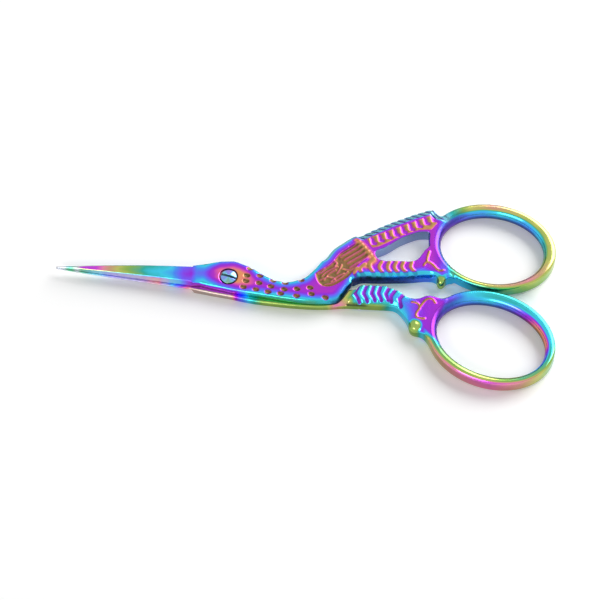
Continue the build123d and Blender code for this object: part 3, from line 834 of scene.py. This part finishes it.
def mesh_object(name, grid, field, paint):
    """A smooth mesh of the field, with what paint says stored on its points."""
    points, faces, normal = surface(grid, field)
    faces = faces[(faces >= 0).all(1)]
    mesh = bpy.data.meshes.new(name)
    mesh.vertices.add(len(points))
    mesh.vertices.foreach_set("co", (points * MM).astype(np.float32).ravel())
    mesh.loops.add(len(faces) * 4)
    mesh.loops.foreach_set("vertex_index", faces.astype(np.int32).ravel())
    mesh.polygons.add(len(faces))
    mesh.polygons.foreach_set("loop_start", np.arange(0, len(faces) * 4, 4, dtype=np.int32))
    mesh.polygons.foreach_set("loop_total", np.full(len(faces), 4, np.int32))
    mesh.update(calc_edges=True)
    mesh.validate()
    mesh.shade_smooth()
    mesh.normals_split_custom_set_from_vertices(normal.tolist())
    for key, values in paint(Spots(grid, points, normal)).items():
        attribute = mesh.attributes.new(key, "FLOAT", "POINT")
        attribute.data.foreach_set("value", np.asarray(values, np.float32))
    thing = bpy.data.objects.new(name, mesh)
    bpy.context.scene.collection.objects.link(thing)
    return thing


def smooth_lines(*lines):
    return [smooth_line(line) for line in lines]


def blade_lines(side, edge_height, edge_bow, back_height):
    """A blade's cutting edge and its back, from the point to the root."""
    half = side * POINT_WIDTH / 2
    edge = arc_line((-BLADE_LENGTH, POINT_HEIGHT + half), (-CHOIL, side * edge_height), side * edge_bow)
    back = np.array([(-BLADE_LENGTH, POINT_HEIGHT - half), (-CHOIL, -side * back_height)])
    return edge, back


def plate_field(plan, faces, bevelled, lines):
    """A half between its faces, each with its rounding, and with the bevels of its blade."""
    body = plan[:, :, None]
    for face, radius in faces:
        body = round_both(body, face.distance(), radius)
    for line, width in lines:
        body = round_both(body, blade_bevel(bevelled, line, width), BEVEL_ROUND)
    return body


def add_handle(body, grid, ring, knee, radius, squash, fillet):
    """A half's body with its finger ring and the knob at its knee."""
    x, y, z = grid.block
    # The ring flows less into the leg near the flat faces, so that these don't swell
    flow = 0.15 + 0.85 * (1 - np.clip(np.abs(z - MID_HEIGHT) / MID_HEIGHT, 0, 1) ** 4)
    body = np.maximum(body, RING_ROUND * 0.8 - ring.inner(x, y))
    body = join(body, ring.field(x, y, z), flow)
    reach = np.sqrt((x - knee[0]) ** 2 + (y - knee[1]) ** 2 + ((z - MID_HEIGHT) * squash) ** 2)
    return join(body, reach - radius, fillet)


def layer_cut(shoulder, grid):
    """Signed distance, in plan, to the part of a half that gives way to the other half."""
    reach = BLADE_LENGTH + CUT_OVERRUN
    corners = [(-reach, shoulder[0][1]), *shoulder, (-reach, shoulder[-1][1])]
    return signed_distance(corners, *grid.flat)[:, :, None]


def wing_relief(face):
    """Feathers, ridges, pads and chevrons, raised and sunk like the part's."""
    grid = face.grid
    panel = np.vstack(smooth_lines(PANEL[:11], PANEL[10:] + PANEL[:1]))
    spot, x, y = grid.window(panel, 1.5)
    inside = signed_distance(panel, x, y)
    gold = bump(line_distance(GOLD_LINE, *grid.flat), GOLD_WIDTH)
    face.height[spot] -= face.side * RELIEF_DEPTH * step(-inside, 0.0, 0.4) * (1 - gold[spot])
    rim = bump(np.abs(inside - 0.1), PANEL_RIM[0]) * (1 - gold[spot])
    face.height[spot] += face.side * PANEL_RIM[1] * rim
    before = face.height.copy()
    face.strokes(RIDGES, RIDGE_WIDTH, RELIEF_DEPTH + 0.06)
    face.strokes(FEATHERS, FEATHER_WIDTH, RELIEF_DEPTH + 0.02)
    raised = np.abs(face.height - before)[spot] / RELIEF_DEPTH
    ground = step(-inside, -0.1, 0.15) * (1 - 0.5 * step(raised, 0.3, 0.9)) - 0.4 * step(rim, 0.5, 0.9)
    # Painted shade on the panel's sunk ground
    dark = step(-inside, 0.1, 0.4) * (1 - step(raised, 0.05, 0.5))
    face.mark(spot, ground, dark)

    spot, x, y = grid.window(PAD_BAND, 1.0)
    depth = step(-signed_distance(PAD_BAND, x, y), -0.05, 0.25)
    first, last = np.array(PAD_ROW)
    angle = math.radians(PAD_TURN)
    way = np.array([math.cos(angle), math.sin(angle)])
    pads = np.full(depth.shape, np.inf)
    length, width = PAD_SIZE
    for count in range(PAD_COUNT):
        centre = first + (last - first) * count / (PAD_COUNT - 1)
        head = centre + way * (length - width) / 2
        foot = centre - way * (length - width) / 2
        toe = foot + np.array([width * 0.55, -width * 0.05])
        pads = np.minimum(pads, line_distance([head, foot, toe], x, y) - width / 2)
    sunk = step(-pads, -0.16, 0.16)
    lines = depth * (1 - sunk)
    face.height[spot] -= face.side * PAD_DEPTH * depth * sunk
    face.height[spot] += face.side * PAD_LINE_HEIGHT * lines
    # Painted shade over the lines between the pads and over the gold band
    face.mark(spot, lines, 0.6 * lines)
    face.mark(..., 0.9 * gold, 0.5 * gold)
    face.strokes(WING_CHEVRONS, *WING_CHEVRON, 1.0, flat=True)
    face.height = np.clip(face.height, 0, THICKNESS + PROUD)


def crest_relief(face, crest):
    """The sloping barred band along the wing's upper edge, and its bevel beside the panel."""
    x, y = face.grid.flat
    distance = line_distance(crest, x, y)
    first, last = np.array(CREST_LINE)
    run = last - first
    length = math.hypot(*run)
    run = run / length
    way = (x - first[0]) * run[0] + (y - first[1]) * run[1]
    bars = step(way, *BAR_START)
    barred = bars * (1 - step(way, length + 0.4, length + 2.2))
    panel_part = step(way, *CREST_START) * (1 - bars)
    drop = CREST_DEPTH * barred + 0.55 * panel_part
    width = CREST_WIDTH * barred + 1.0 * panel_part + 0.5 * (1 - barred - panel_part)
    slope = THICKNESS + 0.05 - drop * np.clip(1 - distance / np.maximum(width, 0.3), -0.5, 1)
    slope = np.where(drop > 0.02, slope, ABOVE)
    phase = (way - BARB_LEAN * distance) / BARB_PITCH
    notch = step(1 - np.abs(2 * (phase - np.floor(phase)) - 1) / 0.62, 0, 1)
    face.barbs = notch * barred * (1 - step(distance, CREST_WIDTH * 0.85, CREST_WIDTH * 1.05))
    face.limit(slope, 0.12)
    face.height -= BARB_DEPTH * face.barbs
    face.crest = np.clip(barred + panel_part, 0, 1) * (1 - step(distance, width * 0.85, width * 1.1))


def front_half():
    """Blade, eye boss, dimpled neck, feathered wing, leg and finger ring."""
    grid = Grid(*FRONT_GRID)
    x, y = grid.flat
    z = grid.block[2]
    under, crest, keel = smooth_lines(FRONT_UNDER, FRONT_CREST, FRONT_KEEL)
    edge, back = blade_lines(1, *FRONT_BLADE)
    outline = np.vstack([edge, crest[::-1], keel[::-1], under[::-1], back[::-1]])
    plan = signed_distance(outline, x, y)
    top = Face(grid, THICKNESS, 1)
    top.limit(blade_height(x, 1), BLADE_FILLET)
    crest_relief(top, crest)
    wing_relief(top)
    edge_slope(top, keel, *KEEL_SLOPE, between(x, *KEEL))
    breast_part = step(x, 21.0, 24.5) * (1 - step(y, -1.2, 0.6))
    edge_slope(top, under[under[:, 0] > 20.0], *BREAST_SLOPE, breast_part)
    top.dimples()
    top.strokes(UPPER_TWIG, TWIG_WIDTH, TWIG_HEIGHT, 1.0)
    bottom = Face(grid, 0.0, -1)
    wing_relief(bottom)

    head = step(grid.block[0], *HEAD_START)
    top_round = BLADE_ROUND + FRONT_TOP_ROUND * head
    bottom_round = BLADE_ROUND + FRONT_BOTTOM_ROUND * head
    body = plate_field(
        plan, ((top, top_round), (bottom, bottom_round)),
        top, ((edge, FRONT_EDGE_BEVEL), (back, BACK_BEVEL)))
    opening = signed_distance(smooth_line(WING_OPENING), x, y)
    body = round_both(body, -opening[:, :, None], OPENING_ROUND)
    ring = Ring(*UPPER_RING)
    body = add_handle(body, grid, ring, *UPPER_KNEE)
    body = round_both(body, -np.maximum(layer_cut(FRONT_SHOULDER, grid), z - FRONT_FLOOR), LAYER_ROUND)
    reach = np.sqrt(x * x + y * y)[:, :, None]
    recess = np.maximum(reach - HEAD_RADIUS - RECESS_GAP, THICKNESS - RECESS_DEPTH - z)
    body = round_both(body, -recess, RECESS_ROUND)
    body = np.maximum(body, SCREW_RADIUS + FRONT_BORE_GAP - reach)
    body = np.maximum(body, -z)
    return mesh_object(
        "front_half_steel", grid, body,
        lambda spots: front_film(spots, plan, top, bottom, opening, ring))


def rear_half():
    """Blade, pivot boss, neck, barred tail, leg and finger ring."""
    grid = Grid(*REAR_GRID)
    x, y = grid.flat
    z = grid.block[2]
    under, belly, tail_back, over = smooth_lines(REAR_UNDER, REAR_BELLY, REAR_BACK, REAR_OVER)
    edge, back = blade_lines(-1, *REAR_BLADE)
    plan = signed_distance(np.vstack([edge, under, belly, tail_back, over, back[::-1]]), x, y)
    top = Face(grid, THICKNESS, 1)
    edge_slope(top, np.vstack([under[-8:], belly]), *TAIL_SLOPE, between(x, *TAIL))
    bottom = Face(grid, 0.0, -1)
    bottom.limit(blade_height(x, -1), BLADE_FILLET)
    for face in (top, bottom):
        face.strokes(TAIL_CHEVRONS, *TAIL_CHEVRON, 1.0, smooth=0, flat=True)
    top.strokes(LOWER_TWIG, TWIG_WIDTH, TWIG_HEIGHT, 1.0)
    bottom.dimples()

    head = step(grid.block[0], *HEAD_START)
    body = plate_field(
        plan, ((top, REAR_TOP_ROUND), (bottom, BLADE_ROUND + REAR_BOTTOM_ROUND * head)),
        bottom, ((edge, EDGE_BEVEL), (back, BACK_BEVEL)))
    ledge = np.maximum(layer_cut(REAR_SHOULDER, grid), REAR_CEILING - z)
    body = round_both(body, -ledge, BLADE_ROUND + LEDGE_ROUND * head)
    ring = Ring(*LOWER_RING)
    body = add_handle(body, grid, ring, *LOWER_KNEE)
    reach = np.sqrt(x * x + y * y)[:, :, None]
    body = np.maximum(body, SCREW_RADIUS + REAR_BORE_GAP - reach)
    body = np.maximum(body, np.maximum(-z, z - THICKNESS - TWIG_HEIGHT))
    return mesh_object(
        "rear_half_steel", grid, body, lambda spots: rear_film(spots, plan, top, bottom, ring))


def pivot_screw():
    """Slotted screw with a domed head."""
    seat = THICKNESS - RECESS_DEPTH + SEAT_GAP
    crown = seat + HEAD_HEIGHT
    grid = Grid(*SCREW_GRID)
    x, y, z = grid.block
    reach = np.sqrt(x * x + y * y)
    dome = crown - DOME_HEIGHT * (reach / HEAD_RADIUS) ** 2
    head = round_both(round_both(reach - HEAD_RADIUS, z - dome, 0.16), seat - z, 0.06)
    shank = np.maximum(reach - SCREW_RADIUS, np.maximum(-z, z - crown + 0.3))
    threaded = between(z, *THREAD_HEIGHTS)
    shank = shank + THREAD_DEPTH / 2 * threaded * (1 - np.cos(2 * math.pi * z / THREAD_PITCH))
    shank = np.maximum(shank, (reach - SCREW_RADIUS - z + END_CHAMFER) * 0.707)
    angle = math.radians(SLOT_TURN)
    across = np.abs(y * math.cos(angle) - x * math.sin(angle))
    slot = round_both(across - SLOT_WIDTH / 2, crown - SLOT_DEPTH - z, 0.05)
    body = round_both(join(head, shank, 0.1), -slot, 0.07)

    def paint(spots):
        side = 1 - np.clip(spots.nz, 0, 1)
        streak = 0.1 * np.sin(3 * np.arctan2(spots.y, spots.x))
        # The head darkens below its crown: painted shade in its recess
        return {
            "phase": 0.5 + 0.16 * side + streak - 0.05 * spots.y,
            "bare_steel_and_sheen": np.full_like(side, 0.35),
            "painted_shade": step(crown - 0.2 - spots.z, 0, 0.25),
        }

    return mesh_object("pivot_screw_steel", grid, body, paint)


def node_input(tree, node, name, value):
    """Sets a socket, or links another node's output to it."""
    socket = node.inputs[name]
    if isinstance(value, bpy.types.NodeSocket):
        tree.links.new(value, socket)
    else:
        socket.default_value = value


def make_node(tree, kind, output, settings, **fields):
    """A new node's output, once its fields and inputs are set."""
    node = tree.nodes.new("ShaderNode" + kind)
    for name, value in fields.items():
        setattr(node, name, value)
    for name, value in settings.items():
        node_input(tree, node, name, value)
    return node.outputs[output]


def math_node(tree, kind, *values):
    return make_node(tree, "Math", 0, dict(enumerate(values)), operation=kind)


def noise_node(tree, vector, scale, detail=3.0, rough=0.5):
    settings = {"Vector": vector, "Scale": scale, "Detail": detail, "Roughness": rough}
    return make_node(tree, "TexNoise", "Fac", settings)


def range_node(tree, *values):
    names = ("Value", "From Min", "From Max", "To Min", "To Max")
    return make_node(tree, "MapRange", "Result", dict(zip(names, values)))


def mix_node(tree, share, first, second):
    return make_node(tree, "Mix", 2, {0: share, 6: first, 7: second}, data_type="RGBA")


def attribute_node(tree, name):
    return make_node(tree, "Attribute", "Fac", {}, attribute_name=name)


def linear(colour):
    """Scene-linear value, with alpha, of a colour given as it is seen."""
    parts = [((part + 0.055) / 1.055) ** 2.4 if part > 0.04045 else part / 12.92 for part in colour]
    return (*parts, 1)


def ramp_node(tree, stops, value):
    ramp = tree.nodes.new("ShaderNodeValToRGB")
    elements = ramp.color_ramp.elements
    for number, (spot, colour) in enumerate(stops):
        element = elements[number] if number < 2 else elements.new(spot)
        element.position = spot
        element.color = linear(colour)
    node_input(tree, ramp, "Fac", value)
    return ramp.outputs["Color"]


def new_material(name, settings):
    """A material, its node tree and its shader, with the shader's constants set."""
    material = bpy.data.materials.new(name)
    material.use_nodes = True
    shader = material.node_tree.nodes["Principled BSDF"]
    for key, value in settings.items():
        shader.inputs[key].default_value = value
    return material, material.node_tree, shader


def film_material(name):
    """Polished steel under a thin oxide film, whose colour follows the film's thickness."""
    material, tree, shader = new_material(name, {"Metallic": 1.0})
    coords = make_node(tree, "TexCoord", "Object", {})
    cloud = noise_node(tree, coords, CLOUD_SCALE)
    fine = noise_node(tree, coords, FINE_SCALE, 4.0, 0.6)
    phase = attribute_node(tree, "phase")
    for noise, shift in ((cloud, CLOUD_SHIFT), (fine, FINE_SHIFT)):
        phase = math_node(tree, "ADD", phase, range_node(tree, noise, 0, 1, -shift, shift))
    stops = [(spot / FILM_END, colour) for spot, colour in FILM]
    colour = ramp_node(tree, stops, math_node(tree, "DIVIDE", phase, FILM_END))
    # Pale steel mixed in: steel through the film, and painted highlights on the blade's walls and the
    # rear's ledge
    colour = mix_node(tree, attribute_node(tree, "bare_steel_and_sheen"), colour, linear(STEEL))
    # Painted shade: a near black mixed in where the shade map says, patchy with noise, and rougher
    # there
    patchy = range_node(tree, fine, 0.3, 0.7, 0.7, 1.0)
    painted_shade = math_node(tree, "MULTIPLY", attribute_node(tree, "painted_shade"), patchy)
    colour = mix_node(tree, painted_shade, colour, linear(PAINTED_SHADE_COLOUR))
    node_input(tree, shader, "Base Color", colour)
    rough = range_node(tree, cloud, 0.3, 0.7, *ROUGH)
    rough = math_node(tree, "MULTIPLY_ADD", painted_shade, PAINTED_SHADE_ROUGH, rough)
    rough = math_node(tree, "MULTIPLY_ADD", attribute_node(tree, "dull"), DULL_ROUGH, rough)
    node_input(tree, shader, "Roughness", rough)
    stretched = make_node(tree, "Mapping", "Vector", {"Vector": coords, "Scale": SCRATCH_STRETCH})
    scratches = noise_node(tree, stretched, SCRATCH_SCALE, 2.0, 0.7)
    settings = {"Height": scratches, "Strength": SCRATCH_STRENGTH, "Distance": SCRATCH_DEPTH * MM}
    node_input(tree, shader, "Normal", make_node(tree, "Bump", "Normal", settings))
    return material


def backdrop_share(tree):
    """1 where a camera, glossy or transmitted ray meets the backdrop."""
    path = tree.nodes.new("ShaderNodeLightPath")
    seen = math_node(tree, "MAXIMUM", path.outputs["Is Camera Ray"], path.outputs["Is Glossy Ray"])
    return math_node(tree, "MAXIMUM", seen, path.outputs["Is Transmission Ray"])


def aim(thing, place_mm, aim_mm):
    """Sets a lamp or a card at a place, facing another."""
    thing.location = Vector(place_mm) * MM
    thing.rotation_euler = (Vector(aim_mm) - Vector(place_mm)).to_track_quat("-Z", "Y").to_euler()


def softbox(name, place_mm, aim_mm, size_mm, power):
    light = bpy.data.lights.new(name, "AREA")
    light.shape = "RECTANGLE"
    light.size, light.size_y = size_mm[0] * MM, size_mm[1] * MM
    light.energy = power
    lamp = bpy.data.objects.new(name, light)
    aim(lamp, place_mm, aim_mm)
    bpy.context.scene.collection.objects.link(lamp)


def dark_card(name, place_mm, aim_mm, size_mm):
    """A black card that only the metal sees, for dark lines in its reflections."""
    bpy.ops.mesh.primitive_plane_add(size=1.0)
    card = bpy.context.object
    card.name = name
    card.scale = (size_mm[0] * MM, size_mm[1] * MM, 1)
    aim(card, place_mm, aim_mm)
    card.data.materials.append(new_material(name + "_black", {"Base Color": CARD_COLOUR})[0])
    card.visible_camera = False
    card.visible_diffuse = False
    card.visible_shadow = False


def studio():
    """Pale floor, soft lights and the photograph's camera."""
    scene = bpy.context.scene
    scene.view_settings.view_transform = "Standard"
    world = bpy.data.worlds.new("studio")
    scene.world = world
    world.use_nodes = True
    tree = world.node_tree
    background = tree.nodes["Background"]
    background.inputs["Color"].default_value = WHITE
    strength = range_node(tree, backdrop_share(tree), 0, 1, WORLD_LIGHT, 1.0)
    node_input(tree, background, "Strength", strength)

    bpy.ops.mesh.primitive_plane_add(size=FLOOR_SPREAD, location=(0, 0, -FLOOR_GAP * MM))
    floor = bpy.context.object
    floor.name = "floor"
    material, tree, shader = new_material("floor_white", {
        "Base Color": FLOOR_COLOUR, "Roughness": FLOOR_ROUGH,
        "Specular IOR Level": 0.0, "Emission Color": WHITE})
    glow = math_node(tree, "MULTIPLY", backdrop_share(tree), FLOOR_GLOW)
    node_input(tree, shader, "Emission Strength", glow)
    floor.data.materials.append(material)

    softbox("key", *KEY_BOX, KEY_POWER)
    softbox("gleam", *GLEAM_BOX, GLEAM_POWER)
    dark_card("card_back", *BACK_CARD)

    camera_data = bpy.data.cameras.new("camera")
    camera_data.lens = CAMERA_LENS
    camera_data.sensor_width = CAMERA_SENSOR
    camera = bpy.data.objects.new("camera", camera_data)
    azimuth, elevation = math.radians(CAMERA_AZIMUTH), math.radians(CAMERA_ELEVATION)
    away = FRAME_WIDTH * CAMERA_LENS / CAMERA_SENSOR
    direction = Vector((
        math.sin(azimuth) * math.cos(elevation),
        -math.cos(azimuth) * math.cos(elevation),
        math.sin(elevation)))
    camera.location = (Vector(CAMERA_AIM) + direction * away) * MM
    camera.rotation_euler = (-direction).to_track_quat("-Z", "Y").to_euler()
    camera_data.clip_start = CLIP_START
    camera_data.clip_end = CLIP_END
    scene.collection.objects.link(camera)
    scene.camera = camera


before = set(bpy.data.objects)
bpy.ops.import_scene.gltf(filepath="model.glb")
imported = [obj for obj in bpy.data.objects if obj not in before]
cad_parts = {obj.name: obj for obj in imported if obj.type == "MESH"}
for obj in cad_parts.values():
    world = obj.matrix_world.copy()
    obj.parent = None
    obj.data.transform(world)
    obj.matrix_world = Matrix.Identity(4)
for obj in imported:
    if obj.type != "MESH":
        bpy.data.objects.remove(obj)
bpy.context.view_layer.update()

for make, node, body, slot in (
        (front_half, "front_half", "front", "rainbow_steel_front"),
        (rear_half, "rear_half", "rear", "rainbow_steel_rear"),
        (pivot_screw, "pivot_screw", "rear", "screw_steel")):
    piece = make()
    piece.data.materials.append(film_material(node + "_film"))
    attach(piece, body)
    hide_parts(node)

studio()
